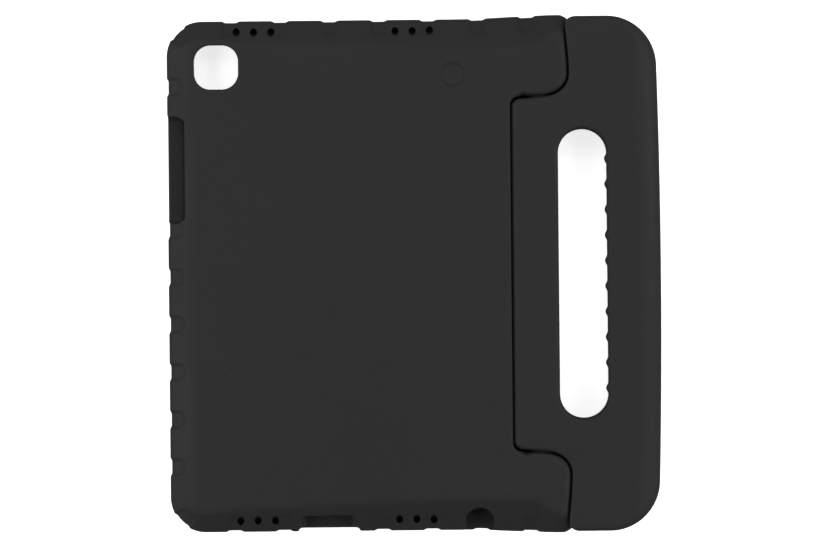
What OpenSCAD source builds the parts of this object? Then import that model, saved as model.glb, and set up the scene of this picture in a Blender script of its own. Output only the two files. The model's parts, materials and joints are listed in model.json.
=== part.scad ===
// Foam tablet case with a carrying handle that folds back into a stand.
// The case lies on its front rim: +Z is out of its back, +X runs towards the handle,
// and +Y runs along the hinge towards the camera hole.
// The origin is the centre of the bounding box's bottom face.

/* [Tablet] */
// Width of the tablet, across the case
tablet_w = 157.4; // [154:0.1:160]
// Length of the tablet, along the hinge
tablet_l = 247.6; // [245:0.1:250]
// Thickness of the tablet
tablet_t = 7; // [6:0.1:7.5]
// Play around the tablet on each side
pocket_play = 0.3; // [0.1:0.1:0.5]

/* [Case body] */
// Wall between the tablet and the edge away from the handle
wall_side = 7.3; // [6.5:0.1:8]
// Walls at the two ends of the tablet
wall_end = 8.1; // [7.5:0.1:9]
// Wall between the tablet and the handle's socket
wall_hinge = 11.8; // [10:0.1:14]
// Front lip under the tablet
lip_t = 3; // [2:0.1:4]
// How far the front lip covers the tablet's border
lip_overlap = 3.5; // [2:0.1:5]
// Thickness of the ears, the hinge and the handle
case_t = 20; // [19:0.5:22]
// Thickness of the body at the end of the side slope
back_low_t = 16; // [15:0.5:17]
// Height of the upright outer wall, below the slopes
rim_h = 7.5; // [6:0.5:9]
// Radius of the two outer corners in plan
corner_r = 19; // [14:1:22]
// How much longer the ears are than the body, at each end
flare = 1.5; // [0.5:0.5:2]
// Depth of the grooves between the edge pads
groove_d = 0.7; // [0.3:0.1:1]

/* [Handle] */
// Distance from the hinge axis to the handle's outer edge
handle_reach = 62.35; // [58:0.05:66]
// Radius of the handle's two outer corners in plan
handle_corner_r = 25; // [20:1:30]
// Bow of the handle's outer edge
handle_bow = 1.5; // [0.5:0.5:2]
// Width of the hand slot
slot_w = 25.3; // [22:0.1:28]
// Length of the hand slot
slot_l = 149.3; // [130:0.1:160]
// Number of grip bumps in the hand slot
bump_count = 10; // [2:1:11]
// Distance between grip bumps
bump_pitch = 13.2; // [8:0.1:13.5]
// Height of a grip bump
bump_h = 1.1; // [0.5:0.1:1.5]

/* [Hinge] */
// Radius of the round noses of the tongue and the ears about the hinge axis
nose_r = 13.6; // [12.5:0.05:14]
// Free gap between handle and body
seam = 1.6; // [1.2:0.1:2]
// Distance from the middle of the case to the face of an ear
ear_face = 93.2; // [90:0.1:96]
// Radius of the hinge pin
pin_r = 3; // [2.5:0.1:3.5]
// Radial play of the pin in its bush
pin_play = 0.05; // [0.01:0.01:0.1]
// Length of the pin that turns in the ear
pin_reach = 18; // [12:1:24]
// Length of the barbed tail that holds the pin in the foam
tail_l = 24; // [16:1:30]

/* [Openings] */
// Side of the camera hole
camera_size = 22.6; // [18:0.1:24]
// Radius of the camera hole's corners
camera_corner_r = 7; // [4:0.5:9]
// Width of the charging port's cut-out
port_w = 28.5; // [20:0.5:32]
// Radius of the headphone cut-out
jack_r = 7.4; // [5:0.1:8]
// Length of the cut-out for the side buttons
button_l = 55; // [40:1:60]
// Radius of a speaker vent
vent_r = 1.9; // [1:0.1:2.2]
// Distance between the vents of a group
vent_pitch = 8.9; // [6:0.1:9]

/* [Hidden] */
$fn = 64;

foam_colour = [0.19, 0.19, 0.19];
pin_colour = [0.12, 0.12, 0.13];
bush_colour = [0.09, 0.09, 0.09];
rubber_colour = [0.06, 0.06, 0.06];

// Layout along X
pocket_w = tablet_w + 2 * pocket_play;
pocket_l = tablet_l + 2 * pocket_play;
socket_r = nose_r + 0.05 + seam;
overall_w = wall_side + pocket_w + wall_hinge + socket_r + handle_reach;
x_side = -overall_w / 2;
x_axis = overall_w / 2 - handle_reach;
x_socket = x_axis - socket_r;
x_tablet = x_side + wall_side + pocket_w / 2;

// Layout along Y and Z
body_half = pocket_l / 2 + wall_end;
ear_half = body_half + flare;
handle_half = ear_half - 0.9;
tongue_half = ear_face - seam;
z_axis = case_t / 2;
z_pocket = lip_t + tablet_t + 0.2;

// Side slope: a steep band, then a gentle one up to the back
slope_w = 13;
slope_z = 14.9;
gentle_w = 19.5;
// End slope: a band up from the rim, then a riser up to the back
band_w = 7.7;
band_z = 13.7;
riser_w = 3.2;

// Edge pads
side_pitch = 24.55;
end_pitch = 25.5;
side_groove_w = 6.7;
end_groove_w = 8.3;
corner_groove_w = 10;
groove_ramp = 1.5;

// Ear and shoulder outlines in plan, about the hinge axis
ear_corner_r = 9.5;
shoulder_r = nose_r + 1.45;
shoulder_corner_r = 11;
taper = 2;
taper_start = 110;
ear_chamfer = 2;
tongue_corner_r = 4;
socket_corner_r = 4.5;
edge_bevel = 4.5;

// Hinge stack, as distances from the middle of the case
washer_r = 7.5;
washer_t = 1.5;
washer_face = tongue_half - 0.6;
flange_face = washer_face + washer_t + 0.3;
flange_t = 1.4;
bush_r = 5;
bush_end = flange_face + flange_t + pin_reach;
collar_t = 2;
collar_r = 6;
shank_r = 4;
barb_r = 5.2;
barb_pitch = 5;
ring_wire_r = 0.4;
ring_y = flange_face + flange_t + pin_reach / 2;
groove_r = pin_r - 2 * ring_wire_r + 0.02;

// Openings
camera_x = x_tablet - 60.5;
camera_y = 108.1;
port_x = x_tablet - 4.3;
jack_x = x_tablet + 73.6;
jack_end = 120.4;
button_y = 55.3;
button_top = 12.2;
port_top = 12.8;
vent_x = [x_tablet - 41, x_tablet + 41];
vent_y = 125.4;
vent_tilt = 12;
slot_x = x_axis + 22.1;

// ---------- helpers ----------

// Half-length of the body at a place along X, with the flare up to the ears
function half_at(x) = body_half + flare * min(1, max(0, (x - 23) / (x_axis - 23)));

// A block from corner a to corner b
module block(a, b) {
  translate(a)
    cube(b - a);
}

// A flat rounded rectangle about the origin, with exact arcs
module rounded_rect(w, h, r) {
  square([w - 2 * r, h], center = true);
  square([w, h - 2 * r], center = true);
  for (sx = [-1, 1])
    for (sy = [-1, 1])
      translate([sx * (w / 2 - r), sy * (h / 2 - r)])
        circle(r = r);
}

// Extrudes a section drawn in X and Z along Y, between -half and +half
module along_y(half) {
  rotate([90, 0, 0])
    linear_extrude(2 * half, center = true)
      children();
}

// Extrudes a section drawn in Y and Z along X, from x0 to x1
module along_x(x0, x1) {
  translate([x0, 0, 0])
    rotate([90, 0, 90])
      linear_extrude(x1 - x0)
        children();
}

// Turns a section about the hinge axis: its X is the radius, its Y runs along the axis
module about_hinge() {
  translate([x_axis, 0, z_axis])
    rotate([-90, 0, 0])
      rotate_extrude($fn = 96)
        children();
}

// Places a child at the top end of the hinge (side 1) or at the bottom end (side -1)
module at_end(side) {
  if (side > 0)
    children();
  else
    mirror([0, 1, 0])
      children();
}

// ---------- case body ----------

// One groove between two edge pads, cut inwards from y = 0
module groove(w) {
  polygon([
    [-w / 2, 1], [-w / 2, 0], [-w / 2 + groove_ramp, -groove_d],
    [w / 2 - groove_ramp, -groove_d], [w / 2, 0], [w / 2, 1]
  ]);
}

// The body's outline in plan, up to the hinge axis, without the socket
module body_plan() {
  difference() {
    union() {
      translate([x_side + corner_r, -body_half])
        square([x_axis - x_side - corner_r, 2 * body_half]);
      translate([x_side, corner_r - body_half])
        square([x_axis - x_side, 2 * (body_half - corner_r)]);
      for (s = [-1, 1]) {
        translate([x_side + corner_r, s * (body_half - corner_r)])
          circle(r = corner_r);
        polygon([
          [23, s * (body_half - 1)], [23, s * body_half],
          [x_axis, s * ear_half], [x_axis, s * (body_half - 1)]
        ]);
      }
    }
    for (i = [0:6]) {
      x = x_tablet - 53 + i * end_pitch;
      translate([x, half_at(x)])
        groove(end_groove_w);
      translate([x, -half_at(x)])
        mirror([0, 1])
          groove(end_groove_w);
    }
    for (i = [-4, -3, -2, -1, 0, 1, 4])
      translate([x_side, i * side_pitch])
        rotate(90)
          groove(side_groove_w);
    for (s = [-1, 1])
      translate([x_side + corner_r, s * (body_half - corner_r)])
        rotate(90 - s * 45)
          translate([0, corner_r])
            groove(corner_groove_w);
  }
}

// An ear's outline: the radius about the hinge axis, against the distance along it
module ear_section() {
  translate([0, ear_face])
    square([nose_r - ear_corner_r, ear_half - ear_face]);
  translate([nose_r - ear_corner_r, ear_face + ear_corner_r])
    intersection() {
      circle(r = ear_corner_r);
      translate([0, -ear_corner_r])
        square(ear_corner_r);
    }
  polygon([
    [0, ear_face + ear_corner_r], [nose_r, ear_face + ear_corner_r], [nose_r, taper_start],
    [nose_r - taper, ear_half - ear_chamfer], [nose_r - taper - ear_chamfer, ear_half],
    [0, ear_half]
  ]);
}

// Side view of the body: the side slope, the rising back and the ears' flat top
module side_section() {
  polygon([
    [x_side, 0], [x_axis + nose_r + 1, 0], [x_axis + nose_r + 1, case_t],
    [x_socket - 5, case_t], [x_side + gentle_w, back_low_t], [x_side + slope_w, slope_z],
    [x_side, rim_h]
  ]);
}

// End view of the body: the bands and risers at its two ends
module end_section() {
  band_slope = (band_z - rim_h) / band_w;
  polygon([
    for (s = [-1, 1])
      each (s < 0
        ? [[-ear_half, 0]]
        : [
            [ear_half, 0], [ear_half, rim_h - flare * band_slope],
            [body_half - band_w, band_z], [body_half - band_w - riser_w, case_t],
            [riser_w + band_w - body_half, case_t], [band_w - body_half, band_z],
            [-ear_half, rim_h - flare * band_slope]
          ])
  ]);
}

// The space that the tongue turns in, with bevelled upper and lower edges
module socket() {
  r = socket_corner_r;
  translate([0, 0, -1])
    linear_extrude(case_t + 2) {
      translate([x_socket + r, -ear_face])
        square([socket_r, 2 * ear_face]);
      translate([x_socket, r - ear_face])
        square([socket_r, 2 * (ear_face - r)]);
      for (s = [-1, 1])
        translate([x_socket + r, s * (ear_face - r)])
          circle(r = r);
    }
  for (s = [-1, 1])
    along_x(x_socket, x_axis + nose_r + 1)
      polygon([
        [s * (ear_face - 1), case_t - edge_bevel - 1], [s * (ear_face - 1), case_t + 1],
        [s * (ear_face + edge_bevel + 1), case_t + 1]
      ]);
  translate([x_socket, 0, case_t])
    rotate([0, 45, 0])
      cube([edge_bevel * sqrt(2), 2 * ear_face, edge_bevel * sqrt(2)], center = true);
}

// Room for the tablet, and the window in front of its screen
module tablet_space() {
  block(
    [x_tablet - pocket_w / 2, -pocket_l / 2, lip_t],
    [x_tablet + pocket_w / 2, pocket_l / 2, z_pocket]
  );
  block(
    [x_tablet - tablet_w / 2 + lip_overlap, lip_overlap - tablet_l / 2, -1],
    [x_tablet + tablet_w / 2 - lip_overlap, tablet_l / 2 - lip_overlap, lip_t + 1]
  );
}

// Rounded square hole behind the rear camera
module camera_hole() {
  translate([camera_x, camera_y, z_pocket - 1])
    linear_extrude(case_t)
      rounded_rect(camera_size, camera_size, camera_corner_r);
}

// Cut-out for the charging plug, open through the bottom wall
module port_cutout() {
  h = port_top - lip_t;
  translate([port_x, 1 - pocket_l / 2, lip_t + h / 2])
    rotate([90, 0, 0])
      linear_extrude(wall_end + 3)
        rounded_rect(port_w, h, 3);
}

// Cut-out for the headphone plug: a round scoop that is open to the back
module jack_cutout() {
  translate([jack_x, -jack_end - jack_r, lip_t])
    rotate([0, 0, 180]) {
      cylinder(r = jack_r, h = case_t);
      translate([-jack_r, 0, 0])
        cube([2 * jack_r, 20, case_t]);
    }
}

// Long cut-out that leaves the side buttons free
module button_cutout() {
  h = button_top - lip_t;
  translate([0, button_y, lip_t + h / 2])
    along_x(x_side - 1, x_side + wall_side + 1)
      rounded_rect(button_l, h, h / 2 - 0.05);
}

// Three vents in front of each of the four speakers
module vents() {
  for (s = [-1, 1])
    for (x = vent_x)
      for (i = [-1, 0, 1])
        translate([x + i * vent_pitch, s * vent_y, band_z])
          rotate([-s * vent_tilt, 0, 0])
            translate([0, 0, -8])
              cylinder(r = vent_r, h = 20);
}

// Bore and flange seat for a bush in an ear
module bush_seat() {
  about_hinge() {
    translate([0, ear_face])
      square([bush_r, bush_end - ear_face]);
    translate([0, ear_face - 1])
      square([washer_r, flange_face + flange_t - ear_face + 1]);
  }
}

module body_shell() {
  color(foam_colour)
    difference() {
      intersection() {
        union() {
          linear_extrude(case_t)
            body_plan();
          for (s = [-1, 1])
            at_end(s)
              about_hinge()
                ear_section();
        }
        along_y(ear_half + 1)
          side_section();
        along_x(x_side - 1, x_axis + nose_r + 1)
          end_section();
      }
      socket();
      tablet_space();
      camera_hole();
      port_cutout();
      jack_cutout();
      button_cutout();
      vents();
      for (s = [-1, 1])
        at_end(s)
          bush_seat();
    }
}

// ---------- handle ----------

// Outer outline of the handle in plan, from the hinge axis outwards
module handle_plan() {
  r = handle_corner_r;
  x_corner = x_axis + handle_reach - handle_bow - r;
  y_corner = handle_half - r;
  x_shoulder = x_axis + shoulder_r;
  difference() {
    union() {
      translate([x_shoulder, -handle_half])
        square([x_corner - x_shoulder, 2 * handle_half]);
      translate([x_axis, -tongue_half])
        square([x_corner - x_axis, 2 * tongue_half]);
      for (s = [-1, 1]) {
        intersection() {
          translate([x_corner, s * y_corner])
            circle(r = r);
          translate([x_corner - 1, -handle_half])
            square([r + 1, 2 * handle_half]);
        }
        // The shoulder leans towards the hinge at its outer end
        polygon([
          [x_shoulder, s * taper_start], [x_shoulder - taper, s * handle_half],
          [x_shoulder + 1, s * handle_half], [x_shoulder + 1, s * taper_start]
        ]);
        // Web between the tongue and the shoulder, before its inner corner is rounded
        translate([x_shoulder - shoulder_corner_r, s > 0 ? tongue_half - 1 : -tongue_half - shoulder_corner_r])
          square([shoulder_corner_r + 1, shoulder_corner_r + 1]);
      }
      polygon([
        [x_corner, y_corner],
        for (i = [6:-1:-6])
          [x_corner + r + handle_bow * (1 - pow(i / 6, 2)), y_corner * i / 6],
        [x_corner, -y_corner]
      ]);
    }
    for (s = [-1, 1])
      translate([x_shoulder - shoulder_corner_r, s * (tongue_half + shoulder_corner_r)])
        circle(r = shoulder_corner_r);
  }
}

// The tongue's outline: the radius about the hinge axis, against the distance along it
module tongue_section() {
  r = tongue_corner_r;
  translate([0, -tongue_half])
    square([nose_r - r, 2 * tongue_half]);
  translate([0, r - tongue_half])
    square([nose_r, 2 * (tongue_half - r)]);
  for (s = [-1, 1])
    translate([nose_r - r, s * (tongue_half - r)])
      circle(r = r);
}

// Side view of the handle, with its rounded outer edge
module handle_side_section() {
  x_end = x_axis + handle_reach;
  translate([x_axis - nose_r - 1, 0])
    square([nose_r + 1 + handle_reach - z_axis, case_t]);
  translate([x_end - z_axis, z_axis])
    circle(r = z_axis);
}

// End view of the tongue, with bevelled edges beside the ears
module tongue_end_section() {
  b = edge_bevel;
  polygon([
    [b - tongue_half, 0], [tongue_half - b, 0], [tongue_half, b], [tongue_half, case_t - b],
    [tongue_half - b, case_t], [b - tongue_half, case_t], [-tongue_half, case_t - b],
    [-tongue_half, b]
  ]);
}

// The hand slot, less its row of grip bumps
module hand_slot() {
  r = slot_w / 2;
  translate([0, 0, -1])
    linear_extrude(case_t + 2)
      difference() {
        translate([slot_x, 0]) {
          square([slot_w, slot_l - slot_w], center = true);
          for (s = [-1, 1])
            translate([0, s * (slot_l / 2 - r)])
              circle(r = r);
        }
        for (i = [0:bump_count - 1])
          translate([slot_x + r + bump_h, (i - (bump_count - 1) / 2) * bump_pitch])
            circle(r = 2 * bump_h);
      }
}

// Seat for a thrust washer and the pin's tail in the end of the tongue
module pin_seat() {
  about_hinge()
    translate([0, washer_face])
      square([washer_r, 2]);
  about_hinge()
    pin_tail_section();
}

module handle_loop() {
  color(foam_colour)
    difference() {
      intersection() {
        union() {
          linear_extrude(case_t)
            handle_plan();
          intersection() {
            about_hinge()
              tongue_section();
            along_x(x_axis - nose_r - 1, x_axis + nose_r)
              tongue_end_section();
          }
        }
        along_y(handle_half + 1)
          handle_side_section();
      }
      hand_slot();
      for (s = [-1, 1])
        at_end(s)
          pin_seat();
      // Bevels beside the ears on the part of the tongue outside the hinge axis
      for (s = [-1, 1])
        for (z = [0, case_t])
          translate([x_axis + 2, s * tongue_half, z])
            rotate([45, 0, 0])
              cube([10, edge_bevel * sqrt(2), edge_bevel * sqrt(2)], center = true);
    }
}

// ---------- hinge hardware ----------

// Flanged plastic sleeve pressed into an ear
module ear_bush(side) {
  color(bush_colour)
    at_end(side)
      about_hinge() {
        bore_r = pin_r + pin_play;
        translate([bore_r, flange_face])
          square([washer_r - bore_r, flange_t]);
        translate([bore_r, flange_face])
          square([bush_r - bore_r, bush_end - flange_face]);
      }
}

// Tail of a pin inside the tongue: a collar, a shank and barbs that point outwards
module pin_tail_section() {
  y0 = washer_face - collar_t;
  translate([0, y0])
    square([collar_r, collar_t]);
  translate([0, y0 - tail_l])
    square([shank_r, tail_l]);
  for (i = [1:floor((tail_l - 2) / barb_pitch)])
    polygon([
      [0, y0 - i * barb_pitch - 2], [shank_r, y0 - i * barb_pitch - 2],
      [barb_r, y0 - i * barb_pitch + 1], [0, y0 - i * barb_pitch + 1]
    ]);
}

// Hinge pin: barbed into the tongue, turning in the ear's bush
module hinge_pin(side) {
  color(pin_colour)
    at_end(side)
      about_hinge()
        difference() {
          union() {
            pin_tail_section();
            translate([0, washer_face - collar_t])
              square([pin_r, bush_end - 1 - washer_face + collar_t]);
          }
          translate([groove_r, ring_y - ring_wire_r - 0.1])
            square([2, 2 * ring_wire_r + 0.2]);
        }
}

// Slippery washer between the tongue and the bush's flange
module thrust_washer(side) {
  color(bush_colour)
    at_end(side)
      about_hinge()
        translate([pin_r + pin_play, washer_face])
          square([washer_r - pin_r - pin_play - 0.1, washer_t]);
}

// Rubber ring in the pin's groove, which gives the hinge its drag
module friction_ring(side) {
  color(rubber_colour)
    at_end(side)
      about_hinge()
        translate([groove_r + ring_wire_r, ring_y])
          circle(r = ring_wire_r, $fn = 24);
}

body_shell();
handle_loop();
ear_bush(1);  // ear_bush_top
ear_bush(-1);  // ear_bush_bottom
hinge_pin(1);  // hinge_pin_top
hinge_pin(-1);  // hinge_pin_bottom
thrust_washer(1);  // thrust_washer_top
thrust_washer(-1);  // thrust_washer_bottom
friction_ring(1);  // friction_ring_top
friction_ring(-1);  // friction_ring_bottom
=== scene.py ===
"""Looks of the tablet case: foam body and handle as smooth skins around the CAD frame.

Each skin is the zero surface of a signed-distance field in millimetres, negative inside the foam.
"""

import json
import math

import bpy
import numpy as np
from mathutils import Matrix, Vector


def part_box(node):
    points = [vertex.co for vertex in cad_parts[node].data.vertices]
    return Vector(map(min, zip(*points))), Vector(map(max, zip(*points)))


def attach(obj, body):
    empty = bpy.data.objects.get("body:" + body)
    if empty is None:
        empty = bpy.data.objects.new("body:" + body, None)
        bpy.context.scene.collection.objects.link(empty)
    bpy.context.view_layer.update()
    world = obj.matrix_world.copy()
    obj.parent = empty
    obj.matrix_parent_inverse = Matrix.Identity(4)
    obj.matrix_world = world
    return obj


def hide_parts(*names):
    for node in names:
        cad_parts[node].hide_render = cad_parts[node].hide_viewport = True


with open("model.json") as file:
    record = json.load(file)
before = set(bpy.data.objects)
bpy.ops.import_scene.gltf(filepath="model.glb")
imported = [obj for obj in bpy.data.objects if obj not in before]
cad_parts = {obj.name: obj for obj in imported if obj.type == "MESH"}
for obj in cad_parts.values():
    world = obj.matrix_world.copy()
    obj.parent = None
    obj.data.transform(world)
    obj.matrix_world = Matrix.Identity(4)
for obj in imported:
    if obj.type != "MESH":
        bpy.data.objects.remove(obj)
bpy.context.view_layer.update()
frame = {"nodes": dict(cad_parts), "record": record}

# ---------- sizes, in millimetres ----------

MM = 1000.0
hinge = frame["record"]["behaviour"]["joints"][0]
body_lo, body_hi = [np.array(corner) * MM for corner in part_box("body_shell")]
_, hand_hi = [np.array(corner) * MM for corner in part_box("handle_loop")]
axis_x, _, axis_z = [v * MM for v in hinge["pos_m"]]
openings = {
    o["name"]: np.array(o["box_m"]) * MM for o in frame["record"]["physics"]["openings"]
}

SIDE = body_lo[0]                 # outer edge away from the handle
EAR_HALF = body_hi[1]             # half-length over the ears
THICK = body_hi[2]                # thickness at the hinge
HALF_T = THICK / 2
NOSE = body_hi[0] - axis_x        # how far the CAD's ears reach past the axis
OUT = hand_hi[0]                  # outer edge of the handle
HAND_HALF = hand_hi[1]            # half-length of the handle
TURN = math.radians(hinge["range_deg"][1])

# Outer walls and slopes. A band is how far in it ends, and the height there.
FLARE = 1.5                       # how much further out the ears' ends are than the case's
FLARE_FROM, FLARE_TO = 23.0, 71.0    # where along X it starts and ends
BODY_HALF = EAR_HALF - FLARE
CORNER_R = 18.4
CORNER_SLOPE = 0.72
RIM_H = 7.5                       # height of the slopes at the outer edge
SIDE_BAND = (13.0, 14.9)
SIDE_GENTLE = (19.5, 16.0)
END_BAND = (7.7, 13.7)
RISER_SLOPE = 1.97
EAR_LIFT = 5.5                    # how much higher the end's band is at the ears
BACK_EDGE = 2.2
FRONT_EDGE = 1.8

# Hinge
BARREL_R = math.hypot(NOSE - 0.5, HALF_T)    # round noses of the tongue and the ears
CRADLE_R = math.hypot(NOSE + 0.7, HALF_T)    # hollows that the noses turn in
BARREL_CORNER = 10.0              # rounding between an ear's nose and its face
TONGUE_CORNER = 4.0
SOCKET_CORNER = 4.5
SOCKET_X = axis_x - NOSE - 1.6
SEAM = 1.2                        # gap between an ear's face and the tongue, at the back
CLOSE_GAP = 0.35                  # the same gap low down
EAR_FACE = 92.25                  # from the middle to an ear's face, at the axis
TONGUE_HALF = EAR_FACE - SEAM
SLANT = 0.07                      # how much the ears' faces lean outwards along X
DRAFT = 0.04                      # and inwards with the depth below the axis
TAPER = 1.6                       # how much thinner the noses get between these places
TAPER_FROM, TAPER_TO = 104.0, 133.0
SEAM_EDGE = 1.7                   # rounding of the seam's edges, on the case
HANDLE_EDGE = 2.4                 # and on the handle
NOTCH_R = 4.5                     # and on both where the seam meets the case's ends
BUSH_R, BUSH_END = 5.05, 112.3    # bores in the ears, and how far out they go
FLANGE_R, FLANGE_END = 7.55, 94.2

# Handle
OUT_CORNER_R = 25.0
BOW = 1.5                         # how far the outer edge bows out
HAND_EDGE = 2.6                   # rounding of the ends' edges
OUT_EDGE = 7.0                    # how much rounder the outer edge is
SLOT_HALF = (12.65, 74.65)
SLOT_X = openings["hand_slot"][0][0] - 0.4 + SLOT_HALF[0]
SLOT_EDGE = 2.4
BUMP_COUNT, BUMP_PITCH, BUMP_R = 10, 13.2, 2.2
BUMP_X = SLOT_X + SLOT_HALF[0] + 1.1

# Tablet
TABLET_X = openings["tablet_pocket"][:, 0].mean()
POCKET = (79.0, 124.1)
WINDOW = (75.2, 120.3)
LIP = 3.0
POCKET_TOP = 10.2
POCKET_MID = (LIP + POCKET_TOP) / 2

# Openings
CAMERA = openings["camera_hole"].mean(axis=0)
CAMERA_HALF, CAMERA_CORNER = 11.4, 8.5
BUTTON_Y, BUTTON_HALF, BUTTON_TOP = 55.3, 27.5, 12.2
PORT_X, PORT_HALF, PORT_TOP = TABLET_X - 4.3, 14.25, 12.8
JACK_X, JACK_R, JACK_END = TABLET_X + 73.6, 7.4, 120.4
VENT_R, VENT_PITCH, VENT_Y, VENT_Z = 1.8, 8.9, 125.4, 13.7
VENT_TILT = math.radians(12)
VENT_GROUPS = (TABLET_X - 41, TABLET_X + 41)
VENT_FLOOR = 5.0

# Grooves between the raised pads of the edges, and the moulding's marks
GROOVE_D = 0.85
END_GROOVE, SIDE_GROOVE, CORNER_GROOVE = (4.6, 9.5), (4.9, 9.5), (5.6, 8.5)  # half-width, reach
SIDE_PITCH, END_PITCH = 24.55, 25.5
FIRST_GROOVE = TABLET_X - 53
END_GROOVES = [FIRST_GROOVE + i * END_PITCH for i in range(7)]
SIDE_GROOVES = [i * SIDE_PITCH for i in (-4, -3, -2, -1, 0, 1, 4)]
DOTS = (
    [(SIDE + 32, i * SIDE_PITCH) for i in (-3, -2, -1, 0, 1, 2)]
    + [(FIRST_GROOVE + (i + 0.5) * END_PITCH, 115.0) for i in range(6)]
    + [(FIRST_GROOVE + (i + 0.5) * END_PITCH, -114.0) for i in range(6)]
    + [(FIRST_GROOVE + i * END_PITCH, -101.5) for i in range(6)]
    + [(FIRST_GROOVE + i * END_PITCH, 102.0) for i in (2, 3)]
)
DOT_R, DOT_D = 1.9, 0.22
MARK = (TABLET_X + 61.5, 102.9)
MARK_R, MARK_D = 5.9, 0.6


# ---------- signed distances ----------

def outside_length(a, b):
    """Length of (a, b), where each counts only above 0."""
    return np.hypot(np.maximum(a, 0.0), np.maximum(b, 0.0))


def meet(a, b, r):
    """Intersection of two solids, with the edge between them rounded."""
    return np.minimum(-r, np.maximum(a, b)) + outside_length(a + r, b + r)


def join(a, b, r):
    """Union of two solids, with a fillet between them."""
    return np.maximum(r, np.minimum(a, b)) - outside_length(r - a, r - b)


def carve(a, b, r):
    """Solid a less solid b, with the cut's edge rounded."""
    return meet(a, -b, r)


def soft_max(a, b, k):
    return np.maximum(a, b) + np.maximum(k - np.abs(a - b), 0.0) ** 2 / (4 * k)


def soft_min(a, b, k):
    return -soft_max(-a, -b, k)


def step(t):
    """0 below t = 0 and 1 above t = 1, with a smooth way between."""
    t = np.clip(t, 0.0, 1.0)
    return t * t * (3 - 2 * t)


def rounded_box(u, v, half_u, half_v, r):
    a = np.abs(u) - half_u + r
    b = np.abs(v) - half_v + r
    return np.minimum(np.maximum(a, b), 0.0) + outside_length(a, b) - r


def plane(t, z, at, slope):
    """Height limit through the point at = (t, z), rising by slope for each step of t."""
    return (z - at[1] - slope * (t - at[0])) / math.hypot(1.0, slope)


# ---------- hinge ----------

def tapered(ay, r):
    """Radius of a nose, or of the hollow round it, at a distance from the middle."""
    return r - TAPER * step((ay - TAPER_FROM) / (TAPER_TO - TAPER_FROM))


def low_down(z):
    """1 below mid-height and 0 above it."""
    return step((axis_z + 1.5 - z) / 2.0)


def barrel(out, z, r):
    """How far a point is past a round nose about the hinge axis, on the nose's side of it."""
    return np.hypot(np.maximum(out, 0.0), z - axis_z) - r


def seam_edge(end_in, r):
    """Rounding of the seam's edges, larger where the seam meets the ends of the case."""
    return r + (NOTCH_R - r) * step((3.5 - end_in) / 3)


def slants(x, z):
    """How far the seam across the hinge axis lies outwards: more to the right, and less low down."""
    lean = SLANT * (x - axis_x)
    return np.maximum(lean, lean * (1 - low_down(z))) - DRAFT * np.maximum(axis_z - z, 0.0)


def closing(z):
    """How much nearer the two foams come low down, where they close the seam."""
    return (SEAM - CLOSE_GAP) * low_down(z)


# ---------- handle ----------

def tongue_side(x, ay, z):
    """The handle's side towards the case: shoulders, tongue, and the tongue's nose."""
    shoulder = -barrel(x - axis_x, z, tapered(ay, CRADLE_R))
    tongue = ay - TONGUE_HALF - slants(x, z)
    inner = join(shoulder, tongue, BARREL_CORNER + 0.9 - closing(z))
    return meet(inner, barrel(axis_x - x, z, BARREL_R), TONGUE_CORNER)


def hand_slot(x, y):
    """The slot for the hand, with its grip bumps."""
    middle = (BUMP_COUNT - 1) / 2
    nearest = np.clip(np.round(y / BUMP_PITCH + middle), 0, BUMP_COUNT - 1)
    bump = np.hypot(x - BUMP_X, y - (nearest - middle) * BUMP_PITCH) - BUMP_R
    slot = rounded_box(x - SLOT_X, y, SLOT_HALF[0], SLOT_HALF[1], SLOT_HALF[0])
    return soft_max(slot, -bump, 1.2)


def handle_field(x, y, z):
    ay = np.abs(y)
    straight = HAND_HALF - OUT_CORNER_R
    right = x - (OUT - BOW * np.minimum(ay / straight, 1.3) ** 2)
    ends = ay - HAND_HALF
    outer = meet(right, ends, OUT_CORNER_R)

    # The outer edge is a soft half-round, and the ends' edges are tighter
    past_x = np.maximum(right + OUT_CORNER_R, 0.0)
    past_y = np.maximum(ends + OUT_CORNER_R, 0.0)
    outward = (past_x / (np.hypot(past_x, past_y) + 1e-6)) ** 2
    flats = np.abs(z - axis_z) - HALF_T
    f = meet(outer * (1 - 0.25 * outward), flats, HAND_EDGE + OUT_EDGE * outward)
    f = meet(f, tongue_side(x, ay, z), seam_edge(-ends, HANDLE_EDGE))
    return carve(f, hand_slot(x, y), SLOT_EDGE)


def turned_handle(x, y, z):
    """The handle near the end of its turn, and far from it a large number."""
    best = np.full_like(x, 9.0)
    near = (x < axis_x) & (z > axis_z) & (np.abs(np.abs(y) - EAR_FACE) < 6)
    u, v, w = x[near] - axis_x, y[near], z[near] - axis_z
    for back in (0.0, 0.07, 0.14, 0.21):
        c, s = math.cos(TURN - back), math.sin(TURN - back)
        turned = handle_field(axis_x + u * c + w * s, v, axis_z - u * s + w * c)
        best[near] = np.minimum(best[near], turned)
    return best


# ---------- case body ----------

def trough(along, inward, half, reach):
    """How deep a groove is, 0 to 1: its sides slope, and its round inner end runs out."""
    t = np.hypot(along, np.maximum(inward - reach + half, 0.0))
    return step((half + 0.2 - t) / 2.2) * step((reach + 1.5 - inward) / 6)


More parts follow.
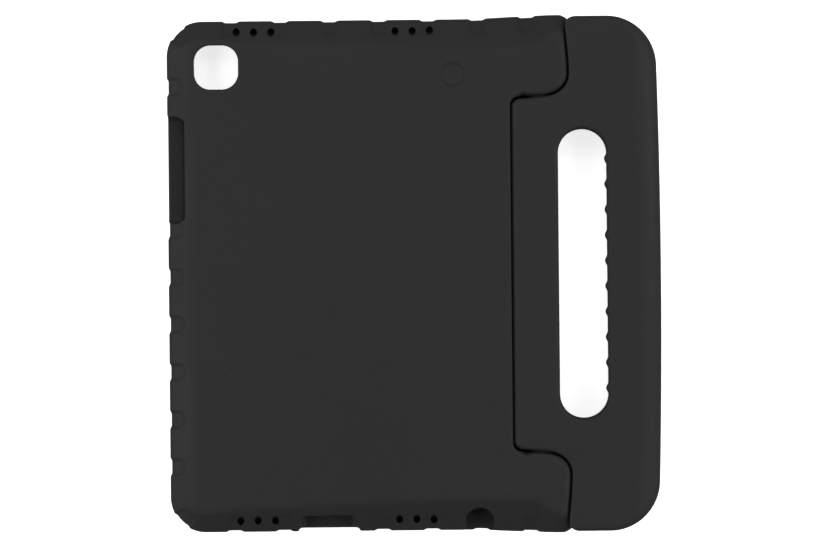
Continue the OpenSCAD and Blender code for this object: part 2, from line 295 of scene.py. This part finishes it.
def groove_depth(x, y, end_in, side_in):
    depth = np.zeros_like(x)
    for at in END_GROOVES:
        depth = np.maximum(depth, trough(x - at, end_in, *END_GROOVE))
    for at in SIDE_GROOVES:
        depth = np.maximum(depth, trough(y - at, side_in, *SIDE_GROOVE))
    # One more groove on each corner's diagonal
    cx = x - (SIDE + CORNER_R)
    cy = np.abs(y) - (BODY_HALF - CORNER_R)
    around = (cx + cy) / math.sqrt(2)
    inward = CORNER_R - (cy - cx) / math.sqrt(2)
    diagonal = trough(around, inward, *CORNER_GROOVE)
    depth = np.maximum(depth, diagonal * (cx < 0) * (cy > 0))
    # The side wall steps back along the button cut-out
    beside = step((BUTTON_HALF + 1.5 - np.abs(y - BUTTON_Y)) / 1.7) * step((7.0 - side_in) / 2)
    return np.maximum(depth, 0.4 * beside)


def back_marks(x, y):
    """Depth of the small moulding marks in the back: ejector dots and one round mark."""
    depth = np.zeros_like(x)
    for cx, cy in DOTS:
        depth = np.maximum(depth, DOT_D * step((DOT_R - np.hypot(x - cx, y - cy)) / 1.2))
    rho = np.hypot(x - MARK[0], y - MARK[1])
    ring = step((0.9 - np.abs(rho - MARK_R)) / 0.8)
    pip = step((2.2 - rho) / 0.9)
    return np.maximum(depth, MARK_D * np.maximum(ring, 0.6 * pip))


def back_height(x):
    low_x = SIDE + SIDE_GENTLE[0]
    t = np.clip((x - low_x) / (SOCKET_X - 5 - low_x), 0.0, 1.0)
    return SIDE_GENTLE[1] + (THICK - SIDE_GENTLE[1]) * t


def back_limit(x, z, end_in, side_in, walls):
    """The back with its slopes down to the edges, each a limit on the height."""
    side = plane(side_in, z, SIDE_BAND, (SIDE_BAND[1] - RIM_H) / SIDE_BAND[0])
    gentle_slope = (SIDE_GENTLE[1] - SIDE_BAND[1]) / (SIDE_GENTLE[0] - SIDE_BAND[0])
    gentle = plane(side_in, z, SIDE_BAND, gentle_slope)
    low_z = z - EAR_LIFT * step((x - axis_x + 5) / 14)
    band = plane(end_in, low_z, END_BAND, (END_BAND[1] - RIM_H) / END_BAND[0])
    riser = plane(end_in, low_z, END_BAND, RISER_SLOPE)
    corner = plane(-walls, low_z, (0.0, RIM_H), CORNER_SLOPE)
    slopes = soft_max(soft_max(side, soft_min(band, riser, 1.0), 5.0), corner, 2.0)
    return soft_max(soft_max(z - back_height(x), gentle, 5.0), slopes, 1.6)


def socket_side(x, ay, z):
    """The case's side towards the handle: the ears and the socket between them."""
    nose = barrel(x - axis_x, z, tapered(ay, BARREL_R))
    face = EAR_FACE + slants(x, z) - closing(z) - ay
    socket = -barrel(axis_x - x, z, CRADLE_R)
    return join(socket, meet(nose, face, BARREL_CORNER), SOCKET_CORNER)


def tablet_cuts(x, y, z):
    """The room for the tablet and the window to its screen, each with its edge's rounding."""
    room = rounded_box(x - TABLET_X, y, POCKET[0], POCKET[1], 7.0)
    yield meet(room, np.abs(z - POCKET_MID) - (POCKET_TOP - LIP) / 2, 2.2), 0.5
    window = rounded_box(x - TABLET_X, y, WINDOW[0], WINDOW[1], 6.0)
    yield np.maximum(window, z - POCKET_MID), 1.2


def edge_cuts(x, y, z):
    """The camera hole and the openings in the edges, each with its edge's rounding."""
    camera = rounded_box(x - CAMERA[0], y - CAMERA[1], CAMERA_HALF, CAMERA_HALF, CAMERA_CORNER)
    yield np.maximum(camera, POCKET_MID - z), 0.9
    port_mid, port_half = (LIP + PORT_TOP) / 2, (PORT_TOP - LIP) / 2
    port = rounded_box(x - PORT_X, z - port_mid, PORT_HALF, port_half, 3.0)
    yield np.maximum(port, y + POCKET[1] - 2), 0.8
    yield rounded_box(x - PORT_X, y + BODY_HALF + 3.2, PORT_HALF + 1.5, 5.0, 1.5), 0.8
    jack = np.hypot(x - JACK_X, np.maximum(y + JACK_END + JACK_R, 0.0)) - JACK_R
    yield np.maximum(jack, LIP - z), 0.8
    button_mid, button_half = (BUTTON_TOP + LIP) / 2, (BUTTON_TOP - LIP) / 2
    button = rounded_box(y - BUTTON_Y, z - button_mid, BUTTON_HALF, button_half, 4.2)
    yield np.maximum(button, x - SIDE - 9), 0.8


def vents(x, y, z):
    """The twelve speaker vents, as one field."""
    best = np.full_like(x, 50.0)
    lean = (np.abs(y) - VENT_Y) * math.cos(VENT_TILT) + (z - VENT_Z) * math.sin(VENT_TILT)
    for centre in VENT_GROUPS:
        for i in (-1, 0, 1):
            best = np.minimum(best, np.hypot(x - centre - i * VENT_PITCH, lean) - VENT_R)
    return np.maximum(best, VENT_FLOOR - z)


def bush_bores(x, ay, z):
    """Bores for the bushes in the ears."""
    spin = np.hypot(x - axis_x, z - axis_z)
    start = EAR_FACE - 3 - ay
    bore = np.maximum(spin - BUSH_R, np.maximum(ay - BUSH_END, start))
    seat = np.maximum(spin - FLANGE_R, np.maximum(ay - FLANGE_END, start))
    return np.minimum(bore, seat)


def body_field(x, y, z):
    ay = np.abs(y)
    end_in = BODY_HALF + FLARE * step((x - FLARE_FROM) / (FLARE_TO - FLARE_FROM)) - ay
    side_in = x - SIDE
    walls = meet(-end_in, -side_in, CORNER_R)
    back = back_limit(x, z, end_in, side_in, walls)
    grooves = GROOVE_D * groove_depth(x, y, end_in, side_in)

    f = meet(walls + grooves, back + grooves + back_marks(x, y) * (z > LIP), BACK_EDGE)
    f = meet(f, -z, FRONT_EDGE)
    f = meet(f, socket_side(x, ay, z), seam_edge(end_in, SEAM_EDGE))
    f = carve(f, turned_handle(x, y, z) - 0.1, 0.8)
    for cuts in (tablet_cuts, edge_cuts):
        for cut, edge in cuts(x, y, z):
            f = carve(f, cut, edge)
    f = carve(f, vents(x, y, z), 0.35)
    return carve(f, bush_bores(x, ay, z), 0.3)


# ---------- meshing ----------

MARGIN = 1.2                      # room between a piece and the grid's ends
FINE = 0.6
BODY_FACES, HANDLE_FACES = 150000, 90000


def grid_lines(a, b):
    """Even grid lines from a to b, about FINE apart."""
    n = max(1, round((b - a) / FINE))
    return np.array([a + (b - a) * i / n for i in range(n)] + [b])


def mirrored_lines(b):
    """Grid lines from -b to b that mirror each other about 0."""
    half = grid_lines(0, b)
    return np.concatenate([-half[:0:-1], half])


def sample(field, grids, slab=24):
    """The field's value at each point of the grid, worked out a slab at a time."""
    xs, ys, zs = grids
    values = np.empty((len(xs), len(ys), len(zs)), dtype=np.float32)
    for i in range(0, len(xs), slab):
        values[i:i + slab] = field(*np.meshgrid(xs[i:i + slab], ys, zs, indexing="ij"))
    return values


def crossings(values, grids, axis):
    """The grid edges along one axis that the surface crosses: their first ends, and where."""
    lo, hi = [slice(None)] * 3, [slice(None)] * 3
    lo[axis], hi[axis] = slice(None, -1), slice(1, None)
    a, b = values[tuple(lo)], values[tuple(hi)]
    cross = (a < 0) != (b < 0)
    first = np.argwhere(cross)
    places = np.stack([grids[d][first[:, d]] for d in range(3)], axis=1)
    share = a[cross] / (a[cross] - b[cross])
    line, start = grids[axis], first[:, axis]
    places[:, axis] += share * (line[start + 1] - line[start])
    return first, places


def neighbour_cells(first, axis, shift, shape):
    """The numbers of the cells that lie to one side of each grid edge."""
    cell = first.copy()
    for d, back in zip([d for d in range(3) if d != axis], shift):
        cell[:, d] -= back
    return np.ravel_multi_index(cell.T, shape)


def surface_net(field, grids):
    """Vertices and quads of the surface where the field is 0."""
    values = sample(field, grids)
    shape = tuple(n - 1 for n in values.shape)
    size = math.prod(shape)
    total = np.zeros((size, 3), dtype=np.float32)
    count = np.zeros(size, dtype=np.int16)
    crossed = []
    for axis in range(3):
        first, places = crossings(values, grids, axis)
        crossed.append(first)
        for shift in ((0, 0), (0, 1), (1, 0), (1, 1)):
            cell = neighbour_cells(first, axis, shift, shape)
            for d in range(3):
                total[:, d] += np.bincount(cell, places[:, d], minlength=size)
            count += np.bincount(cell, minlength=size).astype(np.int16)
    active = count > 0
    verts = total[active] / count[active][:, None]

    # One quad across each crossed edge, through the four cells round it
    number = np.cumsum(active) - 1
    quads = []
    for axis, first in enumerate(crossed):
        ring = [
            number[neighbour_cells(first, axis, shift, shape)]
            for shift in ((1, 1), (0, 1), (0, 0), (1, 0))
        ]
        quad = np.stack(ring, axis=1)
        flip = (values[tuple(first.T)] < 0) == (axis == 1)
        quad[flip] = quad[flip][:, ::-1]
        quads.append(quad)
    return verts.astype(np.float64), np.concatenate(quads)


def gradient(field, p, h=0.02):
    g = np.empty_like(p)
    for d in range(3):
        offset = np.zeros(3)
        offset[d] = h
        g[:, d] = (field(*(p + offset).T) - field(*(p - offset).T)) / (2 * h)
    return g


def settle(field, p, rounds, reach=0.6):
    """Moves points onto the surface, and returns them with its normals."""
    for _ in range(rounds):
        g = gradient(field, p)
        move = field(*p.T)[:, None] * g / np.maximum((g * g).sum(axis=1), 0.2)[:, None]
        size = np.linalg.norm(move, axis=1, keepdims=True)
        p = p - move * np.minimum(1.0, reach / np.maximum(size, 1e-9))
    g = gradient(field, p)
    return p, g / np.maximum(np.linalg.norm(g, axis=1, keepdims=True), 1e-9)


def thin_out(piece, ratio):
    """Replaces a piece's mesh with one that has fewer triangles."""
    thin = piece.modifiers.new("thin", "DECIMATE")
    thin.ratio = ratio
    depsgraph = bpy.context.evaluated_depsgraph_get()
    thinned = bpy.data.meshes.new_from_object(piece.evaluated_get(depsgraph))
    piece.modifiers.clear()
    full = piece.data
    piece.data = thinned
    bpy.data.meshes.remove(full)
    thinned.name = piece.name


def true_up(mesh, field):
    """Puts a mesh's vertices back on the surface, and takes its normals from the field."""
    co = np.empty(len(mesh.vertices) * 3)
    mesh.vertices.foreach_get("co", co)
    points, normals = settle(field, co.reshape(-1, 3) * MM, 1, 0.2)
    mesh.vertices.foreach_set("co", (points / MM).ravel())
    mesh.shade_smooth()
    mesh.normals_split_custom_set_from_vertices(normals.tolist())
    mesh.update()


def skin(name, field, x_range, half, most_faces):
    """A smooth closed piece from a field, thinned to at most so many triangles."""
    grids = (
        grid_lines(x_range[0] - MARGIN, x_range[1] + MARGIN),
        mirrored_lines(half + MARGIN),
        grid_lines(-MARGIN, THICK + MARGIN),
    )
    verts, quads = surface_net(field, grids)
    verts, _ = settle(field, verts, 3)
    mesh = bpy.data.meshes.new(name)
    mesh.from_pydata((verts / MM).tolist(), [], quads.tolist())
    mesh.update()
    piece = bpy.data.objects.new(name, mesh)
    bpy.context.scene.collection.objects.link(piece)
    if 2 * len(quads) > most_faces:
        thin_out(piece, most_faces / (2 * len(quads)))
    true_up(piece.data, field)
    return piece


# ---------- materials ----------

def node_material(name):
    material = bpy.data.materials.new(name)
    material.use_nodes = True
    tree = material.node_tree
    return material, tree, tree.nodes["Principled BSDF"]


def object_coords(tree):
    return tree.nodes.new("ShaderNodeTexCoord").outputs["Object"]


def noise(tree, coords, scale, detail):
    node = tree.nodes.new("ShaderNodeTexNoise")
    node.inputs["Scale"].default_value = scale
    node.inputs["Detail"].default_value = detail
    tree.links.new(coords, node.inputs["Vector"])
    return node.outputs["Fac"]


def set_colour(tree, shader, value, low, high):
    """Base colour from low to high, as a value goes between two (place, colour) stops."""
    ramp = tree.nodes.new("ShaderNodeValToRGB")
    for element, (place, colour) in zip(ramp.color_ramp.elements, (low, high)):
        element.position = place
        element.color = (*colour, 1)
    tree.links.new(value, ramp.inputs["Fac"])
    tree.links.new(ramp.outputs["Color"], shader.inputs["Base Color"])


def set_roughness(tree, shader, value, low, high):
    rough = tree.nodes.new("ShaderNodeMapRange")
    rough.inputs["To Min"].default_value = low
    rough.inputs["To Max"].default_value = high
    tree.links.new(value, rough.inputs["Value"])
    tree.links.new(rough.outputs["Result"], shader.inputs["Roughness"])


def set_bump(tree, shader, height, strength, distance):
    bump = tree.nodes.new("ShaderNodeBump")
    bump.inputs["Strength"].default_value = strength
    bump.inputs["Distance"].default_value = distance
    tree.links.new(height, bump.inputs["Height"])
    tree.links.new(bump.outputs["Normal"], shader.inputs["Normal"])


def pebbles(tree, coords):
    """Height of the foam's pebbled skin: fine cells, and a little noise."""
    cells = tree.nodes.new("ShaderNodeTexVoronoi")
    cells.inputs["Scale"].default_value = 1400.0
    tree.links.new(coords, cells.inputs["Vector"])
    both = tree.nodes.new("ShaderNodeMath")
    both.operation = "ADD"
    tree.links.new(cells.outputs["Distance"], both.inputs[0])
    tree.links.new(noise(tree, coords, 700.0, 2.0), both.inputs[1])
    return both.outputs["Value"]


def foam_material():
    """Moulded closed-cell foam: matte and dark, with a fine pebbled skin."""
    material, tree, shader = node_material("moulded_foam")
    shader.inputs["Specular IOR Level"].default_value = 0.25
    coords = object_coords(tree)
    tone = noise(tree, coords, 22.0, 3.0)
    low, high = (0.3, (0.0105, 0.0105, 0.0107)), (0.7, (0.0120, 0.0120, 0.0122))
    set_colour(tree, shader, tone, low, high)
    set_roughness(tree, shader, tone, 0.62, 0.78)
    set_bump(tree, shader, pebbles(tree, coords), 0.22, 0.0002)
    return material


def plastic_material(name, low, high, roughness):
    """Moulded plastic, with faint flow marks in its colour and roughness."""
    material, tree, shader = node_material(name)
    shader.inputs["Specular IOR Level"].default_value = 0.2
    flow = noise(tree, object_coords(tree), 260.0, 2.0)
    set_colour(tree, shader, flow, (0.0, low), (1.0, high))
    set_roughness(tree, shader, flow, roughness - 0.06, roughness + 0.06)
    set_bump(tree, shader, flow, 0.1, 0.0001)
    return material


# ---------- pieces ----------

def make_body(foam):
    x_range = (SIDE, axis_x + BARREL_R)
    piece = skin("foam_body", body_field, x_range, EAR_HALF, BODY_FACES)
    piece.data.materials.append(foam)
    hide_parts("body_shell")
    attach(piece, "case")


def make_handle(foam):
    x_range = (axis_x - BARREL_R, OUT)
    piece = skin("foam_handle", handle_field, x_range, HAND_HALF, HANDLE_FACES)
    piece.data.materials.append(foam)
    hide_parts("handle_loop")
    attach(piece, "handle")


def finish_hardware():
    """Better materials for the hinge's small CAD parts."""
    acetal = plastic_material("black_acetal", (0.005, 0.005, 0.005), (0.008, 0.008, 0.008), 0.85)
    nylon = plastic_material("black_nylon", (0.012, 0.012, 0.013), (0.022, 0.022, 0.024), 0.5)
    rubber = plastic_material("ring_rubber", (0.008, 0.008, 0.008), (0.014, 0.014, 0.014), 0.6)
    finishes = {
        "ear_bush": acetal, "thrust_washer": acetal, "hinge_pin": nylon, "friction_ring": rubber,
    }
    for part, material in finishes.items():
        for end in ("top", "bottom"):
            node = frame["nodes"][f"{part}_{end}"]
            for material_slot in node.material_slots:
                material_slot.material = material


# ---------- stage ----------

def camera_mix(tree, others, seen):
    """A shader that camera rays see one way, and all other rays another."""
    ray = tree.nodes.new("ShaderNodeLightPath")
    mix = tree.nodes.new("ShaderNodeMixShader")
    tree.links.new(ray.outputs["Is Camera Ray"], mix.inputs["Fac"])
    tree.links.new(others, mix.inputs[1])
    tree.links.new(seen, mix.inputs[2])
    return mix.outputs["Shader"]


def make_stage():
    """A pale floor under the case, which also fills the background."""
    bpy.ops.mesh.primitive_plane_add(size=6.0, location=(0, 0, 0))
    floor = bpy.context.object
    floor.name = "floor"
    material, tree, shader = node_material("floor_paint")
    shader.inputs["Base Color"].default_value = (0.9, 0.9, 0.9, 1)
    shader.inputs["Roughness"].default_value = 0.9
    shader.inputs["Specular IOR Level"].default_value = 0.0
    shader.inputs["Emission Color"].default_value = (1, 1, 1, 1)
    shader.inputs["Emission Strength"].default_value = 0.7
    # The case itself sees a greyer floor, as on a table in a studio
    table = tree.nodes.new("ShaderNodeBsdfDiffuse")
    table.inputs["Color"].default_value = (0.35, 0.35, 0.35, 1)
    mixed = camera_mix(tree, table.outputs["BSDF"], shader.outputs["BSDF"])
    tree.links.new(mixed, tree.nodes["Material Output"].inputs["Surface"])
    floor.data.materials.append(material)


LIGHT_DISTANCE = 1.6


def soft_box(name, azimuth, elevation, size, power):
    """A soft box aimed at the case. Azimuth 0 is at +X, and 90 is at +Y."""
    light = bpy.data.lights.new(name, "AREA")
    light.shape = "RECTANGLE"
    light.size, light.size_y = size
    light.energy = power
    lamp = bpy.data.objects.new(name, light)
    a, e = math.radians(azimuth), math.radians(elevation)
    towards = (math.cos(e) * math.cos(a), math.cos(e) * math.sin(a), math.sin(e))
    lamp.location = [LIGHT_DISTANCE * v for v in towards]
    lamp.rotation_euler = (0, math.radians(90 - elevation), a)
    lamp.visible_camera = False
    bpy.context.scene.collection.objects.link(lamp)


def make_lights():
    """Two soft boxes low at the sides, two weak ones past the ends, and dim air between them."""
    soft_box("box_right", 0, 32, (1.0, 1.6), 22.5)
    soft_box("box_left", 180, 32, (1.0, 1.6), 22.5)
    soft_box("box_top", 90, 40, (1.6, 0.8), 10)
    soft_box("box_bottom", 270, 40, (1.6, 0.8), 4.5)
    world = bpy.data.worlds.new("soft_room")
    world.use_nodes = True
    tree = world.node_tree
    dim, bright = tree.nodes["Background"], tree.nodes.new("ShaderNodeBackground")
    for background, strength in ((dim, 0.145), (bright, 1.0)):
        background.inputs["Color"].default_value = (1, 1, 1, 1)
        background.inputs["Strength"].default_value = strength
    mixed = camera_mix(tree, dim.outputs["Background"], bright.outputs["Background"])
    tree.links.new(mixed, tree.nodes["World Output"].inputs["Surface"])
    bpy.context.scene.world = world


def make_camera():
    """Straight above the back of the case, with a long lens and a slight roll."""
    camera = bpy.data.cameras.new("photo_camera")
    camera.sensor_width = 36.0
    camera.lens = 250.0
    camera.clip_end = 20.0
    frame_width = 0.4305
    distance = frame_width * camera.lens / camera.sensor_width
    eye = bpy.data.objects.new("photo_camera", camera)
    eye.location = (0.00095, -0.0013, THICK / MM / 2 + distance)
    eye.rotation_euler = (0, 0, math.radians(-0.55))
    bpy.context.scene.collection.objects.link(eye)
    bpy.context.scene.camera = eye


make_camera()
make_stage()
make_lights()
foam = foam_material()
make_body(foam)
make_handle(foam)
finish_hardware()
bpy.context.scene.view_settings.view_transform = "Standard"
